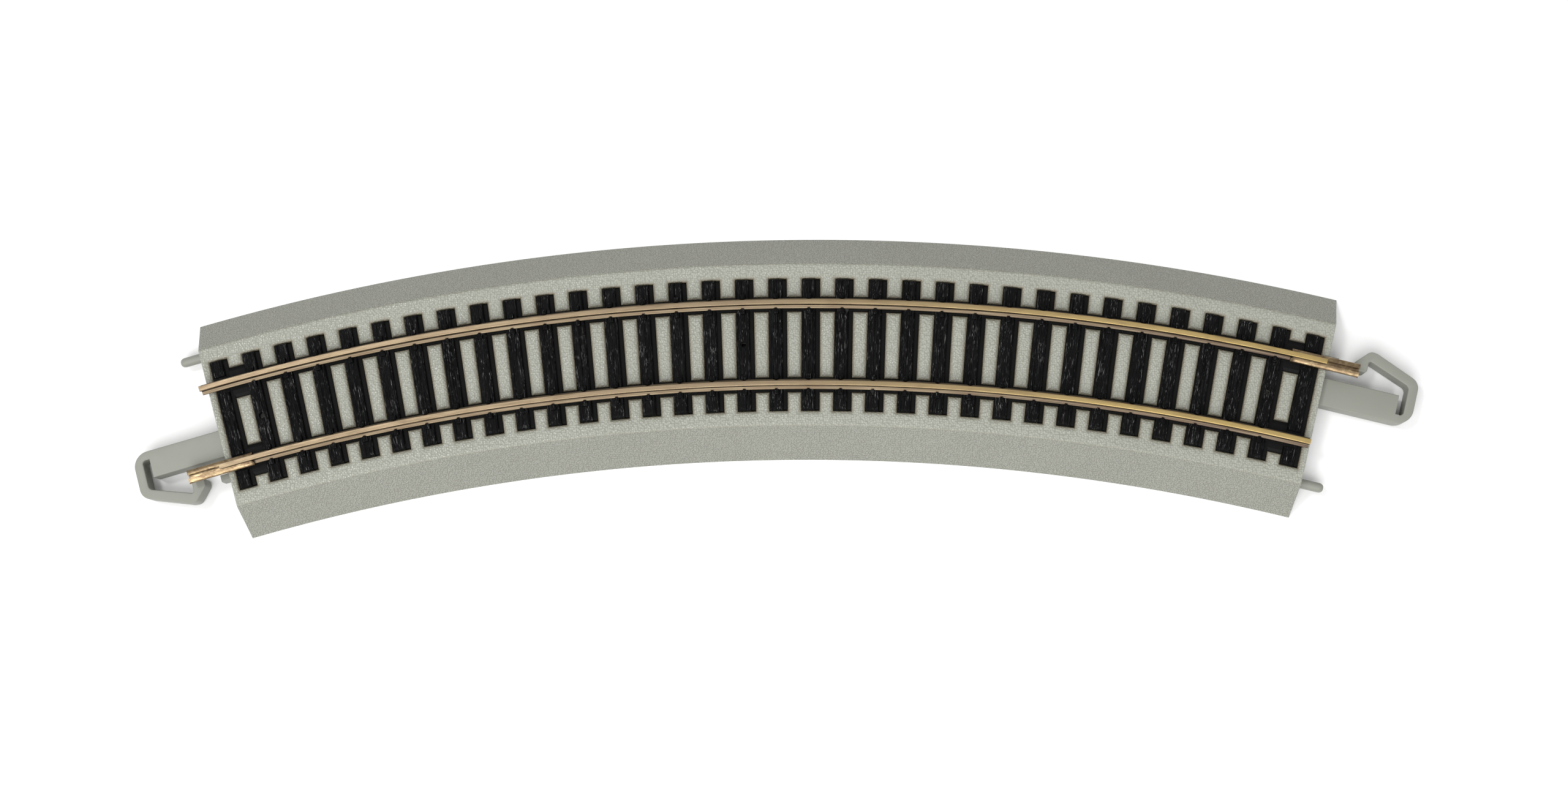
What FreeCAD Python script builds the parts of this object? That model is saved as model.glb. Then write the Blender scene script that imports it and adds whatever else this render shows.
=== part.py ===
import FreeCAD, Part
import os
import Sketcher

# Curved 16.5 mm gauge track section on a moulded roadbed, 18 inch radius, 30 degrees.
# Row frame: origin on the base plane under the middle of the track's centreline, +X along the
# tangent there, +Y outwards from the curve's centre, +Z up. The curve's axis is at Y = -curve_radius.
# Each end has its own frame: its X axis points out of the end along the tangent, and its Y axis
# points to the side that carries the tab and the rail joiner. One half turn plus the curve's angle
# carries one end onto the other, so both ends are alike and any two sections couple.

DIMENSIONS = {
    # curve
    "curve_radius": 457.2,
    "curve_angle": 30,
    "tie_count": 34,
    # roadbed shell
    "bed_height": 6.6,
    "bed_half_top": 17.7,
    "bed_half_base": 24.35,
    "bed_ceiling": 5.0,
    "bed_wall": 1.5,
    "end_wall": 1.6,
    "rib_thickness": 1.2,
    "bay_count": 8,
    # how far a cut runs past a face, or a joined part runs into its neighbour
    "overrun": 0.2,
    # recesses in the roadbed's top
    "pocket_width": 3.9,
    "pocket_length": 28.9,
    "pocket_floor": 5.8,
    "web_floor": 5.6,
    "web_slot_half": 1.6,
    "plate_slot_half": 3.5,
    # tie strip
    "tie_width": 2.65,
    "tie_length": 28.4,
    "tie_top": 7.1,
    "tie_draft": 7,
    "tie_set_back": 0.44,
    "ledge_right": 1.85,
    "ledge_top": 6.2,
    "web_half": 1.45,
    "web_top": 6.5,
    "plate_half": 3.4,
    "plate_top": 6.0,
    "plate_share": 0.8,
    "lug_inside": 1.2,
    "lug_outside": 2.2,
    "lug_length": 0.8,
    "lug_height": 0.45,
    "notch_half": 1.85,
    "notch_floor": 6.55,
    "stake_offset": 4.0,
    "stake_radius": 0.8,
    "stake_hole_radius": 0.85,
    "stake_head_radius": 1.4,
    "stake_head_bottom": 4.5,
    "stake_first_pitch": 10.5,
    "stake_count": 4,
    "nail_hole_radius": 0.65,
    "nail_end_pitch": 15.5,
    "nail_middle_pitch": 0.5,
    # rails
    "rail_offset": 8.8,
    "rail_height": 2.54,
    "rail_foot_half": 1.12,
    "rail_foot_edge": 0.32,
    "rail_foot_root": 0.5,
    "rail_web_half": 0.3,
    "rail_head_half": 0.55,
    "rail_head_under": 1.72,
    "rail_head_slope": 0.15,
    "rail_head_chamfer": 0.12,
    "rail_extra": 0.4,
    "outer_rail_slide": 0.87,
    "inner_rail_slide": 0.64,
    # rail joiners
    "joiner_length": 14.7,
    "joiner_sheet": 0.22,
    "joiner_inner_half": 1.24,
    "joiner_lip_inner": 0.5,
    "joiner_lip_under": 0.56,
    "joiner_gap": 0.02,
    "left_joiner_back": 6.3,
    "right_joiner_back": 8.1,
    # tab, latch arm, peg and their counterparts
    "tab_bottom": 0.2,
    "tab_top": 4.8,
    "tab_near": 0.2,
    "tab_far": 6.2,
    "tab_length": 16.4,
    "band_inner": 18.05,
    "band_outer": 20.05,
    "corner_radius": 3.4,
    "slot_root": 2.05,
    "hinge_x": 19.05,
    "hinge_y": 4.2,
    "hinge_radius": 1.0,
    "hinge_gap": 0.05,
    "seat_end": 3.65,
    "arm_shoulder": 9.9,
    "arm_inside": 8.45,
    "hook_back_x": 10.2,
    "hook_back_y": 13.9,
    "hook_top_x": 8.7,
    "hook_top_y": 14.1,
    "hook_tip_x": 5.9,
    "hook_tip_y": 11.1,
    "hook_under": 9.3,
    "hook_inner_x": 8.75,
    "hook_inner_y": 12.0,
    "nib_near": 9.7,
    "nib_far": 11.2,
    "nib_length": 2.6,
    "nib_top": 4.0,
    "peg_offset": 16.9,
    "peg_level": 2.5,
    "peg_radius": 1.05,
    "peg_length": 5.3,
    "peg_hole_radius": 1.15,
    "mouth_far": 12.2,
    "mouth_near": 0.2,
    "catch_depth": 6.0,
    "catch_width": 1.4,
}

# Outline of the latch arm in an end frame, from the hinge round to the hinge again.
ARM_OUTLINE = [
    ("dim.band_outer", "dim.hinge_y"),
    ("dim.band_outer", "dim.arm_shoulder"),
    ("dim.hook_back_x", "dim.hook_back_y"),
    ("dim.hook_top_x", "dim.hook_top_y"),
    ("dim.hook_tip_x", "dim.hook_tip_y"),
    ("dim.hook_tip_x", "dim.hook_under"),
    ("dim.hook_inner_x", "dim.hook_under"),
    ("dim.hook_inner_x", "dim.hook_inner_y"),
    ("dim.band_inner", "dim.arm_inside"),
    ("dim.band_inner", "dim.hinge_y"),
]
# Radius at each of the outline's rounded corners.
ARM_FILLETS = {1: 2.6, 2: 1.2, 3: 1.5, 4: 1.2, 5: 0.6, 6: 0.6, 7: 0.4, 8: 1.2}

END_ANGLES = {"left": "180 + dim.curve_angle / 2", "right": "-dim.curve_angle / 2"}
END_SIDES = {"left": "-1", "right": "1"}
TIE_PITCH = "(dim.curve_angle / dim.tie_count)"
SCRATCH_SHEET = "scratch"


def start_document():
    doc = FreeCAD.newDocument("track_section")
    sheet = doc.addObject("Spreadsheet::Sheet", "dim")
    for row, (alias, number) in enumerate(DIMENSIONS.items(), start=1):
        sheet.set(f"A{row}", alias)
        sheet.set(f"B{row}", str(number))
        sheet.setAlias(f"B{row}", alias)
    doc.addObject("Spreadsheet::Sheet", SCRATCH_SHEET)
    doc.recompute()
    return doc


def number_of(owner, expression):
    """What an expression comes to now, worked out in a cell of the scratch sheet."""
    scratch = owner.Document.getObject(SCRATCH_SHEET)
    scratch.set("A1", f"={expression}")
    scratch.recompute()
    result = scratch.get("A1")
    return float(getattr(result, "Value", result))


def new_body(doc, name):
    body = doc.addObject("PartDesign::Body", name)
    body.Label = name
    return body


def new_sketch(body, name, role, base=("0", "0", "0"), axis=(0, 0, 1), angle="0"):
    """A sketch on one of the body's origin planes, moved and turned in that plane's own axes."""
    sketch = body.newObject("Sketcher::SketchObject", name)
    plane = next(f for f in body.Origin.OriginFeatures if f.Role == role)
    sketch.AttachmentSupport = [(plane, "")]
    sketch.MapMode = "FlatFace"
    turn = FreeCAD.Rotation(FreeCAD.Vector(*axis), 10)
    sketch.AttachmentOffset = FreeCAD.Placement(FreeCAD.Vector(), turn)
    for letter, expression in zip("xyz", base):
        sketch.setExpression(f".AttachmentOffset.Base.{letter}", expression)
    sketch.setExpression(".AttachmentOffset.Rotation.Angle", f"({angle}) * 1 deg")
    return sketch


def plan_sketch(body, name, level, angle="0"):
    """A level sketch whose origin is on the curve's axis and whose Y axis points at the angle."""
    return new_sketch(body, name, "XY_Plane", ("0", "-dim.curve_radius", level), angle=f"-({angle})")


def profile_sketch(body, name, angle="0"):
    """An upright sketch through the curve's axis: X is the radius and Y is the height."""
    base = ("-dim.curve_radius", "0", "0")
    return new_sketch(body, name, "YZ_Plane", base, axis=(0, 1, 0), angle=f"-({angle})")


def end_sketch(body, name, end, level):
    """A level sketch in the frame of one end."""
    along = f"{END_SIDES[end]} * dim.curve_radius * sin(dim.curve_angle / 2 * 1 deg)"
    across = "dim.curve_radius * (cos(dim.curve_angle / 2 * 1 deg) - 1)"
    return new_sketch(body, name, "XY_Plane", (along, across, level), angle=END_ANGLES[end])


def fix_point(sketch, geometry, position, point, expressions):
    for kind, number, expression in zip(("DistanceX", "DistanceY"), point, expressions):
        rule = Sketcher.Constraint(kind, -1, 1, geometry, position, number)
        index = sketch.addConstraint(rule)
        sketch.setExpression(f"Constraints[{index}]", expression)


def add_polygon(sketch, corners):
    first = sketch.GeometryCount
    count = len(corners)
    points = [FreeCAD.Vector(*(number_of(sketch, e) for e in pair), 0) for pair in corners]
    for i in range(count):
        sketch.addGeometry(Part.LineSegment(points[i], points[(i + 1) % count]))
    for i in range(count):
        sketch.addConstraint(Sketcher.Constraint("Coincident", first + i, 2, first + (i + 1) % count, 1))
    for i, pair in enumerate(corners):
        fix_point(sketch, first + i, 1, (points[i].x, points[i].y), pair)


def add_rectangle(sketch, left, right, low, high):
    add_polygon(sketch, [(left, low), (right, low), (right, high), (left, high)])


def add_circle(sketch, across, up, radius):
    centre = FreeCAD.Vector(number_of(sketch, across), number_of(sketch, up), 0)
    index = sketch.addGeometry(Part.Circle(centre, FreeCAD.Vector(0, 0, 1), number_of(sketch, radius)))
    fix_point(sketch, index, 3, (centre.x, centre.y), (across, up))
    rule = sketch.addConstraint(Sketcher.Constraint("Radius", index, number_of(sketch, radius)))
    sketch.setExpression(f"Constraints[{rule}]", radius)


def extrude(body, kind, name, sketch, length, upwards=True):
    """A Pad or Pocket of a level sketch, upwards or downwards."""
    feature = body.newObject(f"PartDesign::{kind}", name)
    feature.Profile = sketch
    feature.setExpression("Length", length)
    feature.Reversed = upwards != (kind == "Pad")
    return feature


def turn_profile(body, kind, name, sketch, angle):
    """A Revolution or Groove of an upright profile about the curve's axis, half the angle each way."""
    feature = body.newObject(f"PartDesign::{kind}", name)
    feature.Profile = sketch
    feature.ReferenceAxis = (sketch, ["V_Axis"])
    feature.Midplane = True
    feature.setExpression("Angle", f"({angle}) * 1 deg")
    return feature


def repeat_round_curve(body, name, feature, axis, angle, count):
    """Repeats a feature about the curve's axis, from its own place towards the left end."""
    pattern = body.newObject("PartDesign::PolarPattern", name)
    pattern.Originals = [feature]
    pattern.Axis = axis
    pattern.setExpression("Angle", f"({angle}) * 1 deg")
    pattern.setExpression("Occurrences", count)
    body.Tip = pattern
    return pattern


def vertical_edges(shape, corners):
    """Names of the upright edges that stand nearest to the given (x, y) corners."""
    upright = []
    for index, edge in enumerate(shape.Edges, start=1):
        ends = [v.Point for v in edge.Vertexes]
        if len(ends) == 2 and (ends[0] - ends[1]).cross(FreeCAD.Vector(0, 0, 1)).Length < 1e-6:
            upright.append((index, ends[0]))
    names = []
    for x, y in corners:
        index, _ = min(upright, key=lambda item: (item[1].x - x) ** 2 + (item[1].y - y) ** 2)
        names.append(f"Edge{index}")
    return names


def fillet_edges(body, name, edges, radius):
    base = body.Tip
    fillet = body.newObject("PartDesign::Fillet", name)
    fillet.Base = (base, edges)
    fillet.setExpression("Radius", radius)
    body.Document.recompute()


def rail_bounds(side, half):
    """The two radii of a band of the given half width about one rail's centreline."""
    centre = f"dim.curve_radius {side} dim.rail_offset"
    return f"{centre} - {half}", f"{centre} + {half}"


def add_stake_circles(sketch, radius):
    for side in "+-":
        add_circle(sketch, "0", f"dim.curve_radius {side} dim.stake_offset", radius)


def cut_nail_holes(body, level, depth):
    """Three nail holes on the centreline, through the middles of the set back ties."""
    places = ("dim.nail_end_pitch", "-dim.nail_middle_pitch", "-dim.nail_end_pitch")
    for index, place in enumerate(places, start=1):
        sketch = plan_sketch(body, f"nail_hole_{index}_sketch", level, f"{place} * {TIE_PITCH}")
        add_circle(sketch, "-dim.tie_set_back", "dim.curve_radius", "dim.nail_hole_radius")
        extrude(body, "Pocket", f"nail_hole_{index}", sketch, depth, upwards=False)


def add_shell(body):
    """The trapezoidal shell, open underneath, with its end walls and ribs."""
    outline = profile_sketch(body, "shell_outline")
    add_polygon(outline, [
        ("dim.curve_radius - dim.bed_half_base", "0"),
        ("dim.curve_radius + dim.bed_half_base", "0"),
        ("dim.curve_radius + dim.bed_half_top", "dim.bed_height"),
        ("dim.curve_radius - dim.bed_half_top", "dim.bed_height"),
    ])
    turn_profile(body, "Revolution", "shell", outline, "dim.curve_angle")
    slope = "(dim.bed_half_base - dim.bed_half_top) / dim.bed_height"
    low_half = "dim.bed_half_base - dim.bed_wall"
    high_half = f"({low_half} - {slope} * dim.bed_ceiling)"
    inside = [
        (f"dim.curve_radius - ({low_half})", "0"),
        (f"dim.curve_radius + {low_half}", "0"),
        (f"dim.curve_radius + {high_half}", "dim.bed_ceiling"),
        (f"dim.curve_radius - {high_half}", "dim.bed_ceiling"),
    ]
    hollow = profile_sketch(body, "hollow_outline")
    add_polygon(hollow, inside)
    end_wall_angle = "(dim.end_wall / dim.curve_radius * 180 / pi)"
    turn_profile(body, "Groove", "hollow", hollow, f"dim.curve_angle - 2 * {end_wall_angle}")

    bay = "(dim.curve_angle / dim.bay_count)"
    rib_outline = profile_sketch(body, "rib_outline", f"dim.curve_angle / 2 - {bay}")
    add_polygon(rib_outline, inside)
    rib_angle = "dim.rib_thickness / dim.curve_radius * 180 / pi"
    rib = turn_profile(body, "Revolution", "rib", rib_outline, rib_angle)
    axis = (rib_outline, ["V_Axis"])
    repeat_round_curve(body, "ribs", rib, axis, f"(dim.bay_count - 2) * {bay}", "dim.bay_count - 1")

    runners = profile_sketch(body, "runner_outline")
    for side in "+-":
        low, high = rail_bounds(side, "dim.rib_thickness / 2")
        add_rectangle(runners, low, high, "0", "dim.bed_ceiling + dim.overrun")
    turn_profile(body, "Revolution", "runners", runners, f"(dim.bay_count - 2) * {bay}")


def cut_top_recesses(body):
    """Pockets for the ties, slots for the webs under the rails, and wide slots at both ends."""
    top = "dim.bed_height + dim.overrun"
    webs = profile_sketch(body, "web_slot_outline")
    for side in "+-":
        add_rectangle(webs, *rail_bounds(side, "dim.web_slot_half"), "dim.web_floor", top)
    turn_profile(body, "Groove", "web_slots", webs, f"(dim.tie_count - 1) * {TIE_PITCH}")

    plates = profile_sketch(body, "plate_slot_outline", f"(dim.tie_count / 2 - 1) * {TIE_PITCH}")
    for side in "+-":
        add_rectangle(plates, *rail_bounds(side, "dim.plate_slot_half"), "dim.web_floor", top)
    plate = turn_profile(body, "Groove", "plate_slot", plates, TIE_PITCH)
    axis = (plates, ["V_Axis"])
    repeat_round_curve(body, "plate_slots", plate, axis, f"(dim.tie_count - 2) * {TIE_PITCH}", "2")

    last_tie = f"(dim.tie_count - 1) / 2 * {TIE_PITCH}"
    all_ties = f"(dim.tie_count - 1) * {TIE_PITCH}"
    pocket_sketch = plan_sketch(body, "tie_pocket_sketch", "dim.bed_height", last_tie)
    add_rectangle(
        pocket_sketch, "-dim.pocket_width / 2", "dim.pocket_width / 2",
        "dim.curve_radius - dim.pocket_length / 2", "dim.curve_radius + dim.pocket_length / 2",
    )
    pocket = extrude(
        body, "Pocket", "tie_pocket", pocket_sketch, "dim.bed_height - dim.pocket_floor", upwards=False
    )
    axis = (pocket_sketch, ["N_Axis"])
    repeat_round_curve(body, "tie_pockets", pocket, axis, all_ties, "dim.tie_count")

    roof = "dim.pocket_floor - dim.bed_ceiling"
    first_stake = f"dim.stake_first_pitch * {TIE_PITCH}"
    stakes = plan_sketch(body, "stake_hole_sketch", "dim.pocket_floor", first_stake)
    add_stake_circles(stakes, "dim.stake_hole_radius")
    hole = extrude(body, "Pocket", "stake_hole", stakes, roof, upwards=False)
    axis = (stakes, ["N_Axis"])
    repeat_round_curve(body, "stake_holes", hole, axis, f"2 * {first_stake}", "dim.stake_count")
    cut_nail_holes(body, "dim.pocket_floor", roof)


def add_end_features(body, end):
    """The tab with its hinge seat, nib, peg, peg hole, and the socket for the next section's tab."""
    tab_height = "dim.tab_top - dim.tab_bottom"
    tab = end_sketch(body, f"{end}_tab_sketch", end, "dim.tab_bottom")
    add_polygon(tab, [
        ("-dim.end_wall", "dim.tab_near"),
        ("dim.band_outer", "dim.tab_near"),
        ("dim.band_outer", "dim.seat_end"),
        ("dim.band_inner", "dim.seat_end"),
        ("dim.band_inner", "dim.slot_root"),
        ("dim.tab_length", "dim.slot_root"),
        ("dim.tab_length", "dim.tab_far"),
        ("-dim.end_wall", "dim.tab_far"),
    ])
    extrude(body, "Pad", f"{end}_tab", tab, tab_height)
    seat = end_sketch(body, f"{end}_seat_sketch", end, "dim.tab_bottom")
    add_circle(seat, "dim.hinge_x", "dim.hinge_y", "dim.hinge_radius + dim.hinge_gap")
    extrude(body, "Pocket", f"{end}_seat", seat, tab_height)

    nib = end_sketch(body, f"{end}_nib_sketch", end, "dim.tab_bottom")
    add_rectangle(nib, "-dim.end_wall / 2", "dim.nib_length", "dim.nib_near", "dim.nib_far")
    extrude(body, "Pad", f"{end}_nib", nib, "dim.nib_top - dim.tab_bottom")

    mouth = end_sketch(body, f"{end}_mouth_sketch", end, "0")
    mouth_back = "-dim.end_wall - dim.overrun"
    add_rectangle(mouth, mouth_back, "dim.overrun", "-dim.mouth_far", "-dim.mouth_near")
    extrude(body, "Pocket", f"{end}_mouth", mouth, "dim.bed_ceiling")
    catch = end_sketch(body, f"{end}_catch_sketch", end, "dim.tab_bottom")
    catch_far = "-dim.mouth_far - dim.catch_width"
    add_rectangle(catch, "-dim.catch_depth", "-dim.end_wall / 2", catch_far, "-dim.mouth_far")
    extrude(body, "Pad", f"{end}_catch", catch, "dim.bed_ceiling + dim.overrun - dim.tab_bottom")

    along = f"{END_SIDES[end]} * dim.curve_radius * sin(dim.curve_angle / 2 * 1 deg)"
    across = "dim.curve_radius * (cos(dim.curve_angle / 2 * 1 deg) - 1)"
    level_side = (across, "dim.peg_level", along)
    turn = dict(axis=(0, 1, 0), angle=END_ANGLES[end])
    peg = new_sketch(body, f"{end}_peg_sketch", "YZ_Plane", level_side, **turn)
    add_circle(peg, "-dim.peg_offset", "0", "dim.peg_radius")
    extrude(body, "Pad", f"{end}_peg", peg, "dim.peg_length")
    hole = new_sketch(body, f"{end}_peg_hole_sketch", "YZ_Plane", level_side, **turn)
    add_circle(hole, "dim.peg_offset", "0", "dim.peg_hole_radius")
    extrude(body, "Pocket", f"{end}_peg_hole", hole, "dim.end_wall + 2 * dim.overrun", upwards=False)


def tab_corner(doc, end):
    """Row frame position of the tab's outer corner."""
    sheet = doc.getObject("dim")
    frame = end_placement(sheet, end)
    return frame.multVec(FreeCAD.Vector(sheet.band_outer, sheet.tab_near, 0))


def end_placement(sheet, end):
    angle = {"left": 180 + sheet.curve_angle / 2, "right": -sheet.curve_angle / 2}[end]
    middle = FreeCAD.Vector(0, -sheet.curve_radius, 0)
    arc = {"left": sheet.curve_angle / 2, "right": -sheet.curve_angle / 2}[end]
    round_curve = FreeCAD.Rotation(FreeCAD.Vector(0, 0, 1), arc)
    place = middle + round_curve.multVec(FreeCAD.Vector(0, sheet.curve_radius, 0))
    return FreeCAD.Placement(place, FreeCAD.Rotation(FreeCAD.Vector(0, 0, 1), angle))


def make_roadbed(doc):
    body = new_body(doc, "roadbed")
    add_shell(body)
    cut_top_recesses(body)
    for end in END_ANGLES:
        add_end_features(body, end)
    doc.recompute()
    corners = [(tab_corner(doc, end).x, tab_corner(doc, end).y) for end in END_ANGLES]
    edges = vertical_edges(body.Tip.Shape, corners)
    fillet_edges(body, "tab_corners", edges, "dim.corner_radius")
    return body


def make_tie_strip(doc):
    """All ties with the webs under the rails, spike lugs, end plates and heat stakes, as one moulding."""
    body = new_body(doc, "tie_strip")
    last_tie = f"(dim.tie_count - 1) / 2 * {TIE_PITCH}"
    all_ties = f"(dim.tie_count - 1) * {TIE_PITCH}"
    webs = profile_sketch(body, "web_outline")
    for side in "+-":
        add_rectangle(webs, *rail_bounds(side, "dim.web_half"), "dim.web_floor", "dim.web_top")
    turn_profile(body, "Revolution", "webs", webs, all_ties)

    plates = profile_sketch(body, "plate_outline", f"(dim.tie_count / 2 - 1) * {TIE_PITCH}")
    for side in "+-":
        add_rectangle(plates, *rail_bounds(side, "dim.plate_half"), "dim.web_floor", "dim.plate_top")
    plate = turn_profile(body, "Revolution", "plate", plates, f"dim.plate_share * {TIE_PITCH}")
    axis = (plates, ["V_Axis"])
    repeat_round_curve(body, "plates", plate, axis, f"(dim.tie_count - 2) * {TIE_PITCH}", "2")

    tie_sketch = plan_sketch(body, "tie_sketch", "dim.tie_top", last_tie)
    add_rectangle(
        tie_sketch, "-dim.tie_set_back - dim.tie_width / 2", "-dim.tie_set_back + dim.tie_width / 2",
        "dim.curve_radius - dim.tie_length / 2", "dim.curve_radius + dim.tie_length / 2",
    )
    tie = extrude(body, "Pad", "tie", tie_sketch, "dim.tie_top - dim.pocket_floor", upwards=False)
    tie.setExpression("TaperAngle", "dim.tie_draft * 1 deg")
    vertical = (tie_sketch, ["N_Axis"])
    repeat_round_curve(body, "ties", tie, vertical, all_ties, "dim.tie_count")

    ledge_sketch = plan_sketch(body, "ledge_sketch", "dim.pocket_floor", last_tie)
    add_rectangle(
        ledge_sketch, "0", "dim.ledge_right",
        "dim.curve_radius - dim.tie_length / 2", "dim.curve_radius + dim.tie_length / 2",
    )
    ledge = extrude(body, "Pad", "ledge", ledge_sketch, "dim.ledge_top - dim.pocket_floor")
    repeat_round_curve(body, "ledges", ledge, vertical, all_ties, "dim.tie_count")

    first_lug = f"{last_tie} - {TIE_PITCH}"
    lug_sketch = plan_sketch(body, "lug_sketch", "dim.tie_top - dim.overrun", first_lug)
    lug_left = "-dim.tie_set_back - dim.lug_length / 2"
    lug_right = "-dim.tie_set_back + dim.lug_length / 2"
    reaches = (("dim.lug_inside", "dim.lug_outside"), ("-dim.lug_outside", "-dim.lug_inside"))
    for rail_side in "+-":
        rail = f"dim.curve_radius {rail_side} dim.rail_offset"
        for near, far in reaches:
            add_rectangle(lug_sketch, lug_left, lug_right, f"{rail} + {near}", f"{rail} + {far}")
    lug = extrude(body, "Pad", "lug", lug_sketch, "dim.lug_height + dim.overrun")
    lugs_angle = f"(dim.tie_count - 3) * {TIE_PITCH}"
    repeat_round_curve(body, "lugs", lug, vertical, lugs_angle, "dim.tie_count - 2")

    notch_sketch = plan_sketch(body, "notch_sketch", "dim.tie_top", last_tie)
    for rail_side in "+-":
        add_rectangle(
            notch_sketch, "-dim.pocket_width / 2", "dim.pocket_width / 2",
            *rail_bounds(rail_side, "dim.notch_half"),
        )
    notch_depth = "dim.tie_top - dim.notch_floor"
    notch = extrude(body, "Pocket", "notch", notch_sketch, notch_depth, upwards=False)
    repeat_round_curve(body, "notches", notch, vertical, all_ties, "2")

    first_stake = f"dim.stake_first_pitch * {TIE_PITCH}"
    shaft_top = "dim.pocket_floor + dim.overrun"
    shafts = plan_sketch(body, "stake_sketch", shaft_top, first_stake)
    add_stake_circles(shafts, "dim.stake_radius")
    shaft_length = f"{shaft_top} - dim.stake_head_bottom"
    shaft = extrude(body, "Pad", "stake", shafts, shaft_length, upwards=False)
    repeat_round_curve(body, "stakes", shaft, vertical, f"2 * {first_stake}", "dim.stake_count")
    heads = plan_sketch(body, "stake_head_sketch", "dim.bed_ceiling", first_stake)
    add_stake_circles(heads, "dim.stake_head_radius")
    head_depth = "dim.bed_ceiling - dim.stake_head_bottom"
    head = extrude(body, "Pad", "stake_head", heads, head_depth, upwards=False)
    repeat_round_curve(body, "stake_heads", head, vertical, f"2 * {first_stake}", "dim.stake_count")
    cut_nail_holes(body, "dim.tie_top", "dim.tie_top - dim.pocket_floor")
    return body


def make_rail(doc, name, side, slide):
    """A rail of flat-bottomed section, turned about the curve's axis and slid a little to the left."""
    body = new_body(doc, name)
    centre = f"(dim.curve_radius {side} dim.rail_offset)"
    outline = profile_sketch(body, f"{name}_outline", f"-dim.{slide} / {centre} * 180 / pi")
    half = [
        ("dim.rail_foot_half", "0"),
        ("dim.rail_foot_half", "dim.rail_foot_edge"),
        ("dim.rail_web_half", "dim.rail_foot_root"),
        ("dim.rail_web_half", "dim.rail_head_under - dim.rail_head_slope"),
        ("dim.rail_head_half", "dim.rail_head_under"),
        ("dim.rail_head_half", "dim.rail_height - dim.rail_head_chamfer"),
        ("dim.rail_head_half - dim.rail_head_chamfer", "dim.rail_height"),
    ]
    right = [(f"{centre} + {x}", f"dim.tie_top + {z}") for x, z in half]
    left = [(f"{centre} - ({x})", f"dim.tie_top + {z}") for x, z in reversed(half)]
    add_polygon(outline, right + left)
    angle = f"dim.curve_angle + dim.rail_extra / {centre} * 180 / pi"
    turn_profile(body, "Revolution", f"{name}_length", outline, angle)
    return body


def make_rail_joiner(doc, end):
    """A folded clip that runs under the rail's foot, with lips curled over both sides of it."""
    body = new_body(doc, f"{end}_rail_joiner")
    base = ("dim.rail_offset", "dim.tie_top", f"-dim.{end}_joiner_back")
    section = new_sketch(body, f"{end}_joiner_section", "YZ_Plane", base)
    foot_gap = "-dim.joiner_gap"
    lip_top = "dim.joiner_lip_under + dim.joiner_sheet"
    outer = "dim.joiner_inner_half + dim.joiner_sheet"
    right = [
        (outer, f"{foot_gap} - dim.joiner_sheet"),
        (outer, lip_top),
        ("dim.joiner_lip_inner", lip_top),
        ("dim.joiner_lip_inner", "dim.joiner_lip_under"),
        ("dim.joiner_inner_half", "dim.joiner_lip_under"),
        ("dim.joiner_inner_half", foot_gap),
    ]
    left = [(f"-({x})", z) for x, z in reversed(right)]
    add_polygon(section, right + left)
    extrude(body, "Pad", f"{end}_joiner_length", section, "dim.joiner_length")
    body.Placement = end_placement(doc.getObject("dim"), end)
    return body


def make_latch_arm(doc, end):
    """The sprung arm of the tab, from its hinge round the far end and back to its hook."""
    body = new_body(doc, f"{end}_latch_arm")
    height = "dim.tab_top - dim.tab_bottom"
    outline = new_sketch(body, f"{end}_arm_outline", "XY_Plane", ("0", "0", "dim.tab_bottom"))
    add_polygon(outline, ARM_OUTLINE)
    extrude(body, "Pad", f"{end}_arm", outline, height)
    for corner, radius in ARM_FILLETS.items():
        body.Document.recompute()
        place = [tuple(number_of(outline, e) for e in ARM_OUTLINE[corner])]
        edges = vertical_edges(body.Tip.Shape, place)
        fillet_edges(body, f"{end}_arm_corner_{corner}", edges, str(radius))
    knuckle = new_sketch(body, f"{end}_knuckle_sketch", "XY_Plane", ("0", "0", "dim.tab_bottom"))
    add_circle(knuckle, "dim.hinge_x", "dim.hinge_y", "dim.hinge_radius")
    extrude(body, "Pad", f"{end}_knuckle", knuckle, height)
    body.Placement = end_placement(doc.getObject("dim"), end)
    return body


def check(doc, sub_parts):
    """Stops before anything is written if any object failed or any sub-part isn't one sound solid."""
    for item in doc.Objects:
        if "Invalid" in item.State or "Error" in item.State:
            raise RuntimeError(f"{item.Name} failed: {item.State} {item.getStatusString()}")
    for part in sub_parts:
        if part.Shape.isNull() or not part.Shape.isValid() or len(part.Shape.Solids) != 1:
            raise RuntimeError(f"{part.Label} isn't one valid solid")


def main():
    doc = start_document()
    sub_parts = [
        make_roadbed(doc),
        make_tie_strip(doc),
        make_rail(doc, "outer_rail", "+", "outer_rail_slide"),
        make_rail(doc, "inner_rail", "-", "inner_rail_slide"),
    ]
    for end in END_ANGLES:
        sub_parts.append(make_rail_joiner(doc, end))
        sub_parts.append(make_latch_arm(doc, end))
    doc.removeObject(SCRATCH_SHEET)
    doc.recompute()
    check(doc, sub_parts)
    os.makedirs("parts", exist_ok=True)
    for part in sub_parts:
        part.Shape.exportStep(f"parts/{part.Label}.step")
        print(part.Label, f"{part.Shape.Volume:.1f} mm3")


main()
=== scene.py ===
import math
import random

import bmesh
import bpy
from mathutils import Matrix, Vector


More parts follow.
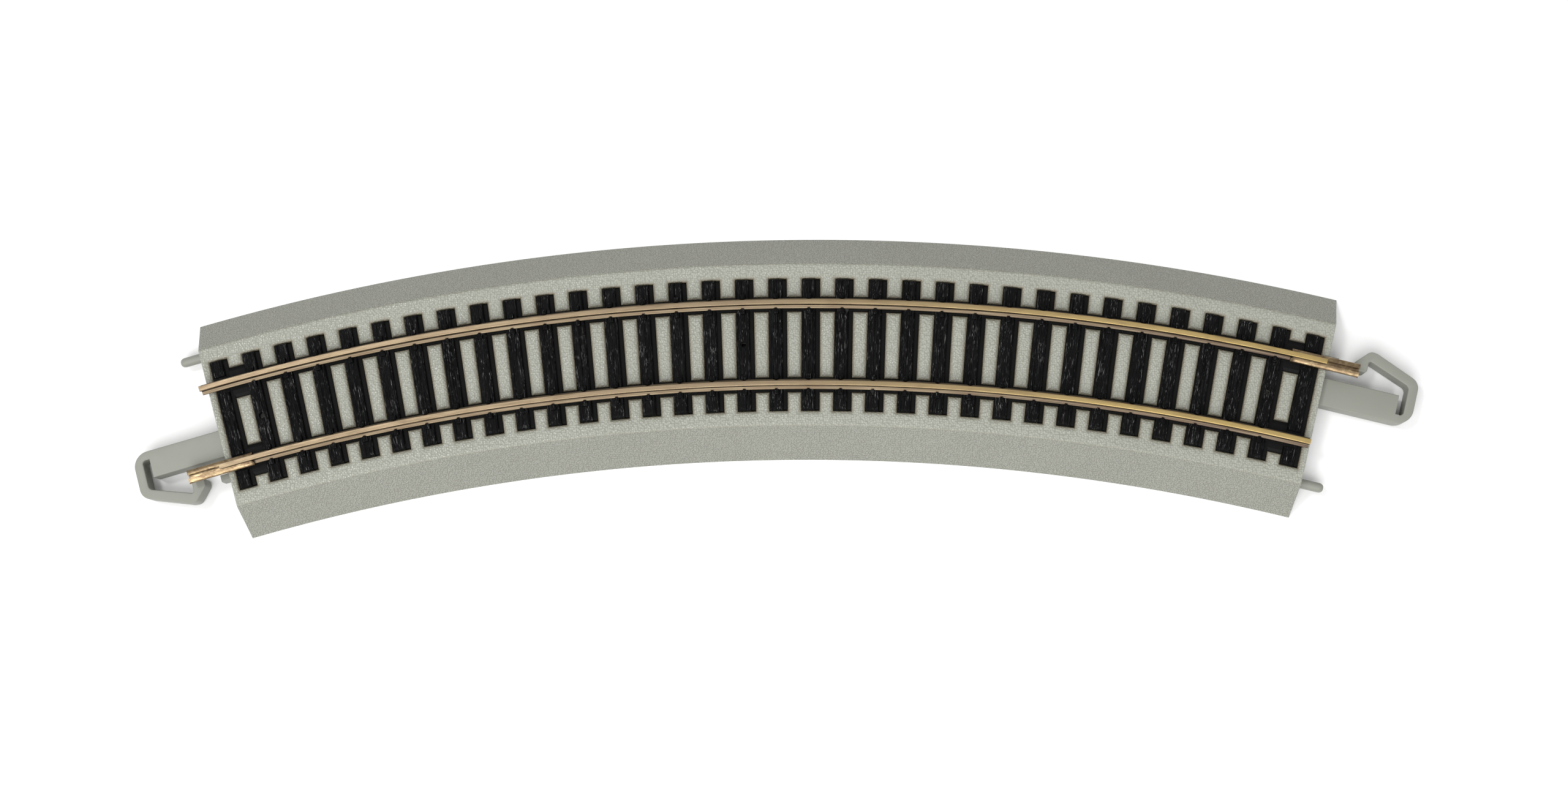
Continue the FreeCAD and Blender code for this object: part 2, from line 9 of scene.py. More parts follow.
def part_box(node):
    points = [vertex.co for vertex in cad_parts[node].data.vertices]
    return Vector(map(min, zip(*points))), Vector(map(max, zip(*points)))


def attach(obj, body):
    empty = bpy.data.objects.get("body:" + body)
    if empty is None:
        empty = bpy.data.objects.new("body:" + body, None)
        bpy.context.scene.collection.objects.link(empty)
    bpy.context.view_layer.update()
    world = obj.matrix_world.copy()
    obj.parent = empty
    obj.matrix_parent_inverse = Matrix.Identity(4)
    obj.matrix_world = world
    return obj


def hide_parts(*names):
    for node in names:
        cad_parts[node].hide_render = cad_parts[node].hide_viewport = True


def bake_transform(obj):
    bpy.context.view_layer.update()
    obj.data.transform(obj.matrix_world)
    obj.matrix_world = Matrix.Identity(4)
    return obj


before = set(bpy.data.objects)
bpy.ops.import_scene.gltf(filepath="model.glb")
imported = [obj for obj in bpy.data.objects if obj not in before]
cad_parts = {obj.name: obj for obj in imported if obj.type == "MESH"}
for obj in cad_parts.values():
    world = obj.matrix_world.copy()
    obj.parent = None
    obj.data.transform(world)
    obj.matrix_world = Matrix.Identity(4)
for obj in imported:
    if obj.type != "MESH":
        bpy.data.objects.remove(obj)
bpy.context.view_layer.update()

# Sizes below are in millimetres and angles in radians, in the row frame: X along the tangent in the
# middle of the curve, Y outwards, Z up. Meshes are written in metres, by way of MM.
MM = 0.001

CURVE_RADIUS = 457.2
HALF_ANGLE = math.radians(15)
TIE_COUNT = 34
TIE_PITCH = 2 * HALF_ANGLE / TIE_COUNT
RAIL_OFFSET = 8.8

BED_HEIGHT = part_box("roadbed")[1].z / MM
TIE_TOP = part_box("outer_rail")[0].z / MM
RAIL_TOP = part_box("outer_rail")[1].z / MM
BED_HALF_TOP = 17.7
BED_HALF_BASE = 24.35
BED_CEILING = 5.0
BED_WALL = 1.5
END_WALL = 1.6
RIB = 1.2
BAY_COUNT = 8

POCKET_HALF = 1.95
POCKET_END = 14.45
POCKET_FLOOR = 5.8
WEB_FLOOR = 5.6
WEB_SLOT_HALF = 1.6
PLATE_SLOT_HALF = 3.5
PILLOW_ROUND = 1.15
PILLOW_DROP = 0.5

TIE_SET_BACK = 0.44
NAIL_RADIUS = 0.65
NAIL_PITCHES = (-15.5, -0.5, 15.5)
STAKE_PITCHES = (-10.5, -3.5, 3.5, 10.5)
STAKE_OFFSET = 4.0

TAB_BOTTOM = 0.2
TAB_TOP = 4.8
TAB_NEAR = 0.2
TAB_FAR = 6.2
TAB_LENGTH = 16.4
TAB_EDGE = 0.22
SLOT_ROOT = 2.05
BAND_INNER = 18.05
BAND_OUTER = 20.05
PEG_OFFSET = 16.9
PEG_LEVEL = 2.5
PEG_RADIUS = 1.05
PEG_LENGTH = 5.3
PEG_HOLE_RADIUS = 1.15
NIB_TOP = 4.0
MOUTH_FAR = -12.2
ROOTED = 0.8

ENDS = ("left", "right")


# ---------------------------------------------------------------- places


def on_curve(angle, offset, height, along=0.0):
    """Row-frame point, in metres, at an angle round the curve, then a way along it."""
    radius = CURVE_RADIUS + offset
    turn = angle + along / radius
    return Vector((radius * math.sin(turn), radius * math.cos(turn) - CURVE_RADIUS, height)) * MM


def end_matrix(end):
    """Frame of one end, in metres: X points out of it, Y to the side with the tab and the joiner."""
    turn = HALF_ANGLE + math.pi if end == "left" else -HALF_ANGLE
    place = on_curve(-HALF_ANGLE if end == "left" else HALF_ANGLE, 0, 0)
    return Matrix.Translation(place) @ Matrix.Rotation(turn, 4, "Z")


# ---------------------------------------------------------------- mesh helpers


def new_piece(name, vertices, faces, placed=Matrix.Identity(4)):
    mesh = bpy.data.meshes.new(name)
    mesh.from_pydata([placed @ Vector(v) for v in vertices], [], faces)
    piece = bpy.data.objects.new(name, mesh)
    bpy.context.scene.collection.objects.link(piece)
    tidy_normals(piece)
    return piece


def tidy_normals(piece):
    shape = bmesh.new()
    shape.from_mesh(piece.data)
    bmesh.ops.remove_doubles(shape, verts=shape.verts, dist=1e-7)
    bmesh.ops.recalc_face_normals(shape, faces=shape.faces)
    if shape.calc_volume(signed=True) < 0:
        bmesh.ops.reverse_faces(shape, faces=shape.faces)
    shape.to_mesh(piece.data)
    shape.free()


def apply_modifiers(piece):
    graph = bpy.context.evaluated_depsgraph_get()
    made = bpy.data.meshes.new_from_object(piece.evaluated_get(graph))
    piece.modifiers.clear()
    piece.data = made


def combine(piece, operation, cutters):
    """Cuts the cutters from the piece, or joins them to it, and removes them."""
    for cutter in cutters:
        step = piece.modifiers.new(operation, "BOOLEAN")
        step.operation = operation
        step.solver = "MANIFOLD"
        step.object = cutter
        apply_modifiers(piece)
        bpy.data.objects.remove(cutter)


def join(name, pieces):
    shape = bmesh.new()
    for piece in pieces:
        shape.from_mesh(piece.data)
        bpy.data.objects.remove(piece)
    mesh = bpy.data.meshes.new(name)
    shape.to_mesh(mesh)
    shape.free()
    joined = bpy.data.objects.new(name, mesh)
    bpy.context.scene.collection.objects.link(joined)
    return joined


def shade(piece, angle=35):
    for polygon in piece.data.polygons:
        polygon.use_smooth = True
    piece.data.set_sharp_from_angle(angle=math.radians(angle))


def rounded_outline(corners, step=8):
    """Points of a closed outline whose corners (x, y, radius) are rounded by arcs."""
    points = []
    count = len(corners)
    for i, (x, y, radius) in enumerate(corners):
        corner = Vector((x, y))
        before = (Vector(corners[i - 1][:2]) - corner).normalized()
        after = (Vector(corners[(i + 1) % count][:2]) - corner).normalized()
        half = before.angle(after) / 2
        if radius == 0:
            points.append((x, y))
            continue
        reach = radius / math.tan(half)
        centre = corner + (before + after).normalized() * (radius / math.sin(half))
        start = corner + before * reach - centre
        sweep = start.angle_signed(corner + after * reach - centre)
        pieces = max(2, math.ceil(abs(math.degrees(sweep)) / step))
        for k in range(pieces + 1):
            arm = start.copy()
            arm.rotate(Matrix.Rotation(-sweep * k / pieces, 2))
            points.append(tuple(centre + arm))
    return points


def slab(name, outline, low, high, placed, edge=0.0, segments=3, sharp=()):
    """A prism over an outline in millimetres, with its top and bottom edges rounded.

    Sides that run between two of the sharp points keep sharp edges, as where a piece butts another.
    """
    count = len(outline)
    vertices = [Vector((x, y, z)) * MM for z in (low, high) for x, y in outline]
    faces = [tuple(range(count)), tuple(range(count, 2 * count))]
    faces += [(i, (i + 1) % count, (i + 1) % count + count, i + count) for i in range(count)]
    piece = new_piece(name, vertices, faces, placed)
    if edge:
        shape = bmesh.new()
        shape.from_mesh(piece.data)
        corners = [placed @ (Vector((x, y, 0)) * MM) for x, y in sharp]

        def stays_sharp(point):
            return any((point.co - corner).xy.length < 1e-6 for corner in corners)

        rim = [e for e in shape.edges if abs(e.verts[0].co.z - e.verts[1].co.z) < 1e-8
               and not all(stays_sharp(v) for v in e.verts)]
        bmesh.ops.bevel(shape, geom=rim, offset=edge * MM, segments=segments, affect="EDGES",
                        profile=0.5)
        shape.to_mesh(piece.data)
        shape.free()
    return piece


def rectangle(left, right, low, high):
    return [(left, low), (right, low), (right, high), (left, high)]


def sweep_along_curve(name, section, start, end, steps):
    """A closed solid with the section (offset, height), swept round the curve between two angles."""
    count = len(section)
    angles = [start + (end - start) * k / steps for k in range(steps + 1)]
    vertices = [on_curve(a, offset, height) for a in angles for offset, height in section]
    faces = [tuple(range(count)), tuple(range(steps * count, (steps + 1) * count))]
    for k in range(steps):
        for i in range(count):
            j = (i + 1) % count
            faces.append((k * count + i, k * count + j, (k + 1) * count + j, (k + 1) * count + i))
    return new_piece(name, vertices, faces)


# ---------------------------------------------------------------- roadbed


def rounding(distance):
    """How far the surface lies below the top, this far from the edge of a recess."""
    if distance >= PILLOW_ROUND:
        return 0.0
    share = 1 - distance / PILLOW_ROUND
    return PILLOW_DROP * (1 - math.sqrt(1 - share ** 2))


CREST_SOFT = 0.5
END_ROUND = 0.15
EDGE_STEPS = [PILLOW_ROUND * share for share in (1.0, 0.72, 0.5, 0.32, 0.17, 0.07, 0.015, 0.0)]
WALL_STEP = -0.04


def bed_rows():
    """Offsets across the roadbed where the surface needs vertices, with a fine step at each edge."""
    rows = set()
    for side in (-1, 1):
        edges = [(POCKET_END, 1)]
        for half in (WEB_SLOT_HALF, PLATE_SLOT_HALF):
            edges += [(RAIL_OFFSET + half, 1), (RAIL_OFFSET - half, -1)]
        for edge, outwards in edges:
            for step in EDGE_STEPS + [WALL_STEP]:
                rows.add(round(side * (edge + outwards * step), 4))
        for step in (-0.5, -0.3, -0.12, 0.0, 0.12, 0.3, 0.5):
            rows.add(round(side * (BED_HALF_TOP + step), 4))
        for share in (0.15, 0.35, 0.6, 0.85, 1.0):
            rows.add(round(side * (BED_HALF_TOP + (BED_HALF_BASE - BED_HALF_TOP) * share), 4))
        rows.update((side * 16.1, side * 11.6, side * 2.0, side * 3.8))
    rows.add(0.0)
    return sorted(rows)


class Column:
    """One line across the roadbed: where it lies, and what it crosses.

    beyond is its distance outside the nearest tie's pocket, negative inside it; slot is the half
    width of the slots under the rails there; to_end is its distance from the roadbed's end.
    """

    def __init__(self, angle, along, beyond, slot=0.0, to_end=9.0):
        self.angle = angle
        self.along = along
        self.beyond = beyond
        self.slot = slot
        self.to_end = to_end


def bed_columns():
    """Columns in order from the left end of the roadbed to its right end."""
    strip = (0.0, 0.03, 0.08, 0.15, 0.4)
    columns = [Column(-HALF_ANGLE, shift, 9.0, to_end=shift) for shift in strip]
    gap_slots = [PLATE_SLOT_HALF] + [WEB_SLOT_HALF] * (TIE_COUNT - 3) + [PLATE_SLOT_HALF]
    wall = POCKET_HALF + WALL_STEP
    for i in range(TIE_COUNT):
        angle = (i - (TIE_COUNT - 1) / 2) * TIE_PITCH
        left_slot = gap_slots[i - 1] if i > 0 else 0.0
        right_slot = gap_slots[i] if i < TIE_COUNT - 1 else 0.0
        for step in EDGE_STEPS:
            if i > 0 or step < 0.6:
                columns.append(Column(angle, -POCKET_HALF - step, step, left_slot))
        columns.append(Column(angle, -wall, -1, left_slot))
        columns.append(Column(angle, 0, -1, max(left_slot, right_slot)))
        columns.append(Column(angle, wall, -1, right_slot))
        for step in reversed(EDGE_STEPS):
            if i < TIE_COUNT - 1 or step < 0.6:
                columns.append(Column(angle, POCKET_HALF + step, step, right_slot))
        if i < TIE_COUNT - 1:
            columns.append(Column(angle + TIE_PITCH / 2, 0, 9.0, right_slot))
    columns += [Column(HALF_ANGLE, -shift, 9.0, to_end=shift) for shift in reversed(strip)]
    return columns


def bed_height(column, offset):
    """Height of the roadbed's outside where a column and a row meet."""
    size = abs(offset)
    slope = BED_HEIGHT / (BED_HALF_BASE - BED_HALF_TOP)
    past = size - BED_HALF_TOP
    if past > CREST_SOFT:
        height = BED_HEIGHT - slope * past
    elif past > -CREST_SOFT:
        height = BED_HEIGHT - slope * (past + CREST_SOFT) ** 2 / (4 * CREST_SOFT)
    else:
        height = BED_HEIGHT
    if column.slot and abs(size - RAIL_OFFSET) < column.slot:
        return WEB_FLOOR
    if column.beyond < 0 and size < POCKET_END:
        return POCKET_FLOOR
    to_pocket = math.hypot(max(column.beyond, 0.0), max(size - POCKET_END, 0.0))
    to_slot = abs(size - RAIL_OFFSET) - column.slot if column.slot else 9.0
    share = max(0.0, 1 - column.to_end / END_ROUND)
    worn = END_ROUND * (1 - math.sqrt(1 - share ** 2)) * min(1.0, height / 2)
    return height - rounding(min(to_pocket, to_slot)) - worn


def make_bed_solid():
    """The outside of the roadbed as a closed solid: a grid over the top, a flat base and flat ends."""
    rows = bed_rows()
    columns = bed_columns()
    vertices = [on_curve(column.angle, offset, bed_height(column, offset), column.along)
                for column in columns for offset in rows]
    deep, wide = len(rows), len(columns)
    faces = []
    for c in range(wide - 1):
        for r in range(deep - 1):
            a = c * deep + r
            faces.append((a, a + 1, a + deep + 1, a + deep))
        faces.append((c * deep, (c + 1) * deep, (c + 1) * deep + deep - 1, c * deep + deep - 1))
    faces.append(tuple(range(deep)))
    faces.append(tuple(range((wide - 1) * deep, wide * deep)))
    return new_piece("roadbed_shell", vertices, faces)


def bay_cutter(name, start, end, near, far):
    """The hollow of one bay, between two angles; offsets past the walls stop at the sloping wall."""
    slope = (BED_HALF_BASE - BED_HALF_TOP) / BED_HEIGHT
    limit = BED_HALF_BASE - BED_WALL

    def inside(offset, height):
        wall = limit - slope * height
        return max(-wall, min(wall, offset))

    low, high = -0.5, BED_CEILING
    section = [(inside(near, low), low), (inside(far, low), low),
               (inside(far, high), high), (inside(near, high), high)]
    return sweep_along_curve(name, section, start, end, 10)


def make_bay_cutters():
    cutters = []
    bay = 2 * HALF_ANGLE / BAY_COUNT
    half_rib = RIB / 2 / CURVE_RADIUS
    far = BED_HALF_BASE
    lanes = [(-far, -RAIL_OFFSET - RIB / 2), (-RAIL_OFFSET + RIB / 2, RAIL_OFFSET - RIB / 2),
             (RAIL_OFFSET + RIB / 2, far)]
    for k in range(BAY_COUNT):
        start = -HALF_ANGLE + k * bay + half_rib
        end = -HALF_ANGLE + (k + 1) * bay - half_rib
        if k == 0:
            start = -HALF_ANGLE + END_WALL / CURVE_RADIUS
        if k == BAY_COUNT - 1:
            end = HALF_ANGLE - END_WALL / CURVE_RADIUS
        outer_bay = k in (0, BAY_COUNT - 1)
        for lane, (near, past) in enumerate([(-far, far)] if outer_bay else lanes):
            cutters.append(bay_cutter(f"bay_{k}_{lane}", start, end, near, past))
    return cutters


def upright_cylinder(name, centre, radius, low, high, sides=24):
    ring = [(math.cos(2 * math.pi * k / sides), math.sin(2 * math.pi * k / sides)) for k in range(sides)]
    outline = [(centre[0] / MM + radius * x, centre[1] / MM + radius * y) for x, y in ring]
    return slab(name, outline, low, high, Matrix.Identity(4))


def turned_peg(name, end, side, profile, sides=24):
    """A solid turned about a line that points out of one end; the profile is (out, radius)."""
    vertices = []
    for out, radius in profile:
        for k in range(sides):
            turn = 2 * math.pi * k / sides
            place = (out, side + radius * math.cos(turn), PEG_LEVEL + radius * math.sin(turn))
            vertices.append(Vector(place) * MM)
    faces = [tuple(range(sides)), tuple(range(len(vertices) - sides, len(vertices)))]
    for ring in range(len(profile) - 1):
        for k in range(sides):
            n = (k + 1) % sides
            low = ring * sides
            faces.append((low + k, low + n, low + sides + n, low + sides + k))
    return new_piece(name, vertices, faces, end_matrix(end))


def make_roadbed():
    bed = make_bed_solid()
    cutters = make_bay_cutters()
    for index, pitches in enumerate(NAIL_PITCHES):
        centre = on_curve(pitches * TIE_PITCH, 0, 0, -TIE_SET_BACK)
        cutters.append(upright_cylinder(f"nail_cut_{index}", centre, NAIL_RADIUS, 4, 6.2))
    for end in ENDS:
        placed = end_matrix(end)
        mouth = rectangle(-END_WALL - 0.3, 0.5, MOUTH_FAR, -0.2)
        cutters.append(slab(f"{end}_mouth_cut", mouth, -0.5, BED_CEILING, placed))
        hole = [(-END_WALL - 0.4, PEG_HOLE_RADIUS), (0.4, PEG_HOLE_RADIUS)]
        cutters.append(turned_peg(f"{end}_peg_hole_cut", end, PEG_OFFSET, hole))
    combine(bed, "DIFFERENCE", cutters)

    additions = []
    for end in ENDS:
        placed = end_matrix(end)
        bar_end = [(TAB_LENGTH, TAB_NEAR), (TAB_LENGTH, SLOT_ROOT), (TAB_LENGTH, TAB_FAR)]
        bar = [(-1.2, TAB_NEAR), *bar_end, (-1.2, TAB_FAR)]
        additions.append(slab(f"{end}_bar", bar, TAB_BOTTOM, TAB_TOP, placed, edge=TAB_EDGE, sharp=bar_end))
        nib = rectangle(-ROOTED, 2.6, 9.7, 11.2)
        additions.append(slab(f"{end}_nib", nib, TAB_BOTTOM, NIB_TOP, placed, edge=0.25))
        catch = rectangle(-6.0, -ROOTED, -13.6, MOUTH_FAR)
        additions.append(slab(f"{end}_catch", catch, TAB_BOTTOM, BED_CEILING + 0.3, placed))
        tip = [(PEG_LENGTH - 1.0 + math.sin(t), PEG_RADIUS - 0.75 * (1 - math.cos(t)))
               for t in (0, 0.3, 0.6, 0.9, 1.2, 1.5)]
        peg = [(-ROOTED, PEG_RADIUS)] + tip
        additions.append(turned_peg(f"{end}_peg_solid", end, -PEG_OFFSET, peg))
    combine(bed, "UNION", additions)
    shade(bed, 32)
    return bed


# ---------------------------------------------------------------- latch arms

ARM_CORNERS = [
    (TAB_LENGTH, TAB_NEAR, 0),
    (BAND_OUTER, TAB_NEAR, 3.4),
    (BAND_OUTER, 9.9, 2.6),
    (10.2, 13.9, 1.2),
    (8.7, 14.1, 1.5),
    (5.9, 11.1, 1.2),
    (5.9, 9.3, 0.6),
    (8.75, 9.3, 0.6),
    (8.75, 12.0, 0.4),
    (BAND_INNER, 8.45, 1.2),
    (BAND_INNER, SLOT_ROOT, 0.8),
    (TAB_LENGTH, SLOT_ROOT, 0),
]


def make_latch_arm(end):
    outline = rounded_outline(ARM_CORNERS)
    slot_end = [outline[0], outline[-1], outline[-2]]
    return slab(f"{end}_latch_band", outline, TAB_BOTTOM, TAB_TOP, end_matrix(end), edge=TAB_EDGE,
                sharp=slot_end)


# ---------------------------------------------------------------- tie strip

TIE_HALF_LENGTH = 14.42
TIE_BOTTOM = 5.8
TIE_LEFT = -1.77
TIE_RIGHT = 0.88
GRAIN_COLUMNS = 22
GRAIN_ROWS = 60
END_ROWS = (0.0, 0.0035, 0.0075, 0.0105, 0.015, 0.025, 0.045)
LUG_REACH = (1.14, 2.2)
LUG_HALF = 0.56
LUG_BOTTOM = 6.7
LUG_TOP = 7.62
SPIKE_REACH = (1.0, 1.8)
SPIKE_HALF = 0.3
SPIKE_BOTTOM = 7.52
SPIKE_TOP = 7.8
WEB_HALF = 1.45
WEB_BOTTOM = 5.65
WEB_TOP = 6.5
PLATE_HALF = 3.4
PLATE_RIM = 5.85
PLATE_TOP = 6.15
PLATE_CHAMFER = 0.75
NOTCH_HALF = 1.85
NOTCH_FLOOR = 6.55


def grain_depths(chance):
    """Depth of the wood grain over one tie's top, as a function of (share across, share along)."""
    grooves = []
    for k in range(9):
        grooves.append({
            "place": (k + chance.uniform(0.2, 0.8)) / 9,
            "sway": chance.uniform(0.01, 0.05),
            "turns": chance.uniform(0.6, 2.2),
            "phase": chance.uniform(0, 6.3),
            "depth": chance.uniform(0.03, 0.12),
            "width": chance.uniform(0.02, 0.05),
            "middle": chance.uniform(0.1, 0.9),
            "length": chance.uniform(0.2, 0.7),
        })

    def depth(across, along):
        total = 0.0
        for g in grooves:
            path = g["place"] + g["sway"] * math.sin(g["phase"] + 2 * math.pi * g["turns"] * along)
            fade = math.exp(-((along - g["middle"]) / g["length"]) ** 4)
            total += g["depth"] * fade * math.exp(-((across - path) / g["width"]) ** 2)
        return total + chance.uniform(0, 0.02)

    return depth


def tie_section(depth, along):
    """Points (way along the track, height) over one tie, from the foot of its left side to its right."""
    points = [(-1.93, TIE_BOTTOM), (-1.87, 6.5), (TIE_LEFT - 0.01, 6.95)]
    for k in range(GRAIN_COLUMNS + 1):
        share = k / GRAIN_COLUMNS
        near_edge = min(share, 1 - share) * (TIE_RIGHT - TIE_LEFT)
        worn = 0.09 * math.exp(-(near_edge / 0.12) ** 2)
        across = TIE_LEFT + 0.04 + share * (TIE_RIGHT - TIE_LEFT - 0.08)
        points.append((across, TIE_TOP - worn - depth(share, along)))
    ledge = [(0.93, 6.8), (1.0, 6.42), (1.12, 6.3), (1.75, 6.12), (1.88, 6.02), (1.93, TIE_BOTTOM)]
    return points + ledge


def make_tie(index):
    chance = random.Random(700 + index)
    depth = grain_depths(chance)
    angle = (index - (TIE_COUNT - 1) / 2) * TIE_PITCH
    rows = []
    for k in range(GRAIN_ROWS + 1):
        share = END_ROWS[k] if k < len(END_ROWS) else k / GRAIN_ROWS
        share = 1 - END_ROWS[GRAIN_ROWS - k] if GRAIN_ROWS - k < len(END_ROWS) else share
        offset = -TIE_HALF_LENGTH + 2 * TIE_HALF_LENGTH * share
        from_end = TIE_HALF_LENGTH - abs(offset)
        drop = 0.75 * max(0.0, 1 - from_end / 0.3) + 0.12 * math.exp(-((from_end - 0.3) / 0.15) ** 2)
        rows.append([on_curve(angle, offset, max(z - drop, TIE_BOTTOM), along)
                     for along, z in tie_section(depth, share)])
    count = len(rows[0])
    vertices = [point for row in rows for point in row]
    faces = []
    for r in range(GRAIN_ROWS):
        for c in range(count):
            n = (c + 1) % count
            faces.append((r * count + c, r * count + n, (r + 1) * count + n, (r + 1) * count + c))
    faces += [tuple(range(count)), tuple(range(GRAIN_ROWS * count, (GRAIN_ROWS + 1) * count))]
    return new_piece(f"tie_{index}", vertices, faces)


def tangent_matrix(angle, offset):
    """Frame at a place on the curve, in metres: X along the track to the right, Y outwards."""
    return Matrix.Translation(on_curve(angle, offset, 0)) @ Matrix.Rotation(-angle, 4, "Z")


def make_lugs(index, reach, half, low, high):
    """Four blocks on one tie, one on each side of each rail, at a reach from the rail's middle."""
    angle = (index - (TIE_COUNT - 1) / 2) * TIE_PITCH
    lugs = []
    for rail in (-RAIL_OFFSET, RAIL_OFFSET):
        placed = tangent_matrix(angle, rail) @ Matrix.Translation((-TIE_SET_BACK * MM, 0, 0))
        for side in (-1, 1):
            near, far = sorted(side * end for end in reach)
            outline = rectangle(-half, half, near, far)
            lugs.append(slab("lug", outline, low, high, placed, edge=0.1, segments=2))
    return lugs


def rail_webs():
    """Straps under the rails that join the ties, and the wider plates in the first and last gap."""
    straps = []
    half_turn = (TIE_COUNT - 1) / 2 * TIE_PITCH
    for rail in (-RAIL_OFFSET, RAIL_OFFSET):
        web = [(rail - WEB_HALF, WEB_BOTTOM), (rail + WEB_HALF, WEB_BOTTOM),
               (rail + WEB_HALF, WEB_TOP - 0.1), (rail + WEB_HALF - 0.1, WEB_TOP),
               (rail - WEB_HALF + 0.1, WEB_TOP), (rail - WEB_HALF, WEB_TOP - 0.1)]
        straps.append(sweep_along_curve("web", web, -half_turn, half_turn, 3 * TIE_COUNT))
        plate = [(rail - PLATE_HALF, WEB_BOTTOM), (rail + PLATE_HALF, WEB_BOTTOM),
                 (rail + PLATE_HALF, PLATE_RIM), (rail + PLATE_HALF - PLATE_CHAMFER, PLATE_TOP),
                 (rail - PLATE_HALF + PLATE_CHAMFER, PLATE_TOP), (rail - PLATE_HALF, PLATE_RIM)]
        for side in (-1, 1):
            near = side * (half_turn - TIE_PITCH)
            straps.append(sweep_along_curve("plate", plate, *sorted((near, side * half_turn)), 6))
    return straps


def make_tie_strip():
    strip = join("tie_strip_wood", [make_tie(index) for index in range(TIE_COUNT)])
    inner_ties = range(1, TIE_COUNT - 1)
    lugs = []
    for index in inner_ties:
        lugs += make_lugs(index, LUG_REACH, LUG_HALF, LUG_BOTTOM, LUG_TOP)
    lugs = join("lugs", lugs)
    spikes = []
    for index in inner_ties:
        spikes += make_lugs(index, SPIKE_REACH, SPIKE_HALF, SPIKE_BOTTOM, SPIKE_TOP)
    spikes = join("spikes", spikes)
    combine(strip, "UNION", rail_webs() + [lugs, spikes])
    cutters = []
    half_turn = (TIE_COUNT - 1) / 2 * TIE_PITCH
    for side in (-1, 1):
        for rail in (-RAIL_OFFSET, RAIL_OFFSET):
            notch = rectangle(rail - NOTCH_HALF, rail + NOTCH_HALF, NOTCH_FLOOR, 8)
            reach = sorted((side * (half_turn - TIE_PITCH / 2), side * (half_turn + TIE_PITCH / 2)))
            cutters.append(sweep_along_curve("notch", notch, *reach, 4))
    for pitches in NAIL_PITCHES:
        centre = on_curve(pitches * TIE_PITCH, 0, 0, -TIE_SET_BACK)
        cutters.append(upright_cylinder("nail_cut", centre, NAIL_RADIUS, 5, 8))
    combine(strip, "DIFFERENCE", cutters)
    stakes = []
    for pitches in STAKE_PITCHES:
        for offset in (-STAKE_OFFSET, STAKE_OFFSET):
            centre = on_curve(pitches * TIE_PITCH, offset, 0, -TIE_SET_BACK)
            stakes.append(upright_cylinder("stake", centre, 0.8, 4.8, 6.2))
            stakes.append(upright_cylinder("stake_head", centre, 1.4, 4.5, 4.98))
    combine(strip, "UNION", stakes)
    return strip


# ---------------------------------------------------------------- rails

RAIL_ENDS = {"outer": (1.07, -0.67), "inner": (0.84, -0.44)}


def rail_profile():
    """Cross-section of a flat-bottomed rail as (offset, height), rounded where metal is rolled."""
    right = [(1.12, 0.0, 0.08), (1.12, 0.3, 0.1), (0.36, 0.56, 0.3), (0.3, 1.5, 0.25),
             (0.55, 1.82, 0.08), (0.55, 2.54, 0.16)]
    left = [(-x, z, radius) for x, z, radius in reversed(right)]
    return rounded_outline(right + left, 18)


def make_rail(which, offset):
    beyond_left, beyond_right = RAIL_ENDS[which]
    radius = CURVE_RADIUS + offset
    start = -HALF_ANGLE - beyond_left / radius
    end = HALF_ANGLE + beyond_right / radius
    section = [(offset + x, TIE_TOP + z) for x, z in rail_profile()]
    rail = sweep_along_curve(f"{which}_rail_drawn", section, start, end, 200)
    shade(rail, 40)
    return rail


# ---------------------------------------------------------------- rail joiners

JOINER_SHEET = 0.24
JOINER_BACK = {"left": -6.3, "right": -8.1}
JOINER_STATIONS = (0, 0.25, 0.5, 0.8, 1.2, 1.8, 4, 8, 12, 13.2, 13.7, 14.1, 14.4, 14.6, 14.7)


def joiner_line(flare, mouth):
    """Middle line of the folded sheet, (across, height above the rail's foot), left lip to right."""
    right = [(0.0, -0.13), (0.95, -0.13), (1.2, -0.08), (1.33, 0.06), (1.36, 0.22), (1.33, 0.38),
             (1.23, 0.5), (1.06, 0.58), (0.74, 0.65), (0.4, 0.7)]
    opened = []
    for k, (x, z) in enumerate(right):
        share = max(0, k - 3) / (len(right) - 4)
        across = x * (1 + 0.05 * mouth) + 0.5 * flare * share ** 1.5
        opened.append((across, z + 0.3 * flare * share - 0.1 * mouth * (1 - share)))
    return [(-x, z) for x, z in reversed(opened[1:])] + opened


def sheet_section(line):
    """Closed section round a middle line, half the sheet's thickness to each side."""
    sides = ([], [])
    for k, (x, z) in enumerate(line):
        before = Vector(line[max(k - 1, 0)])
        after = Vector(line[min(k + 1, len(line) - 1)])
        along = (after - before).normalized()
        across = Vector((-along.y, along.x)) * JOINER_SHEET / 2
        sides[0].append((x + across.x, z + across.y))
        sides[1].append((x - across.x, z - across.y))
    return sides[0] + sides[1][::-1]


def make_joiner(end):
    """A folded channel round the rail's foot, with flared tangs behind and a rolled mouth in front."""
    placed = end_matrix(end)
    vertices = []
    for station in JOINER_STATIONS:
        flare = max(0.0, 1 - station / 0.9) ** 2
        mouth = max(0.0, (station - 13.2) / 1.5) ** 2
        for x, z in sheet_section(joiner_line(flare, mouth)):
            place = (JOINER_BACK[end] + station, RAIL_OFFSET + x, TIE_TOP + z)
            vertices.append(Vector(place) * MM)
    count = len(vertices) // len(JOINER_STATIONS)
    faces = []
    for r in range(len(JOINER_STATIONS) - 1):
        for c in range(count):
            n = (c + 1) % count
            faces.append((r * count + c, r * count + n, (r + 1) * count + n, (r + 1) * count + c))
    last = (len(JOINER_STATIONS) - 1) * count
    half = count // 2
    for k in range(half - 1):
        faces.append((k, k + 1, count - 2 - k, count - 1 - k))
        faces.append((last + k, last + k + 1, last + count - 2 - k, last + count - 1 - k))
    joiner = new_piece(f"{end}_joiner_folded", vertices, faces, placed)
    shade(joiner, 50)
    return joiner


# ---------------------------------------------------------------- materials


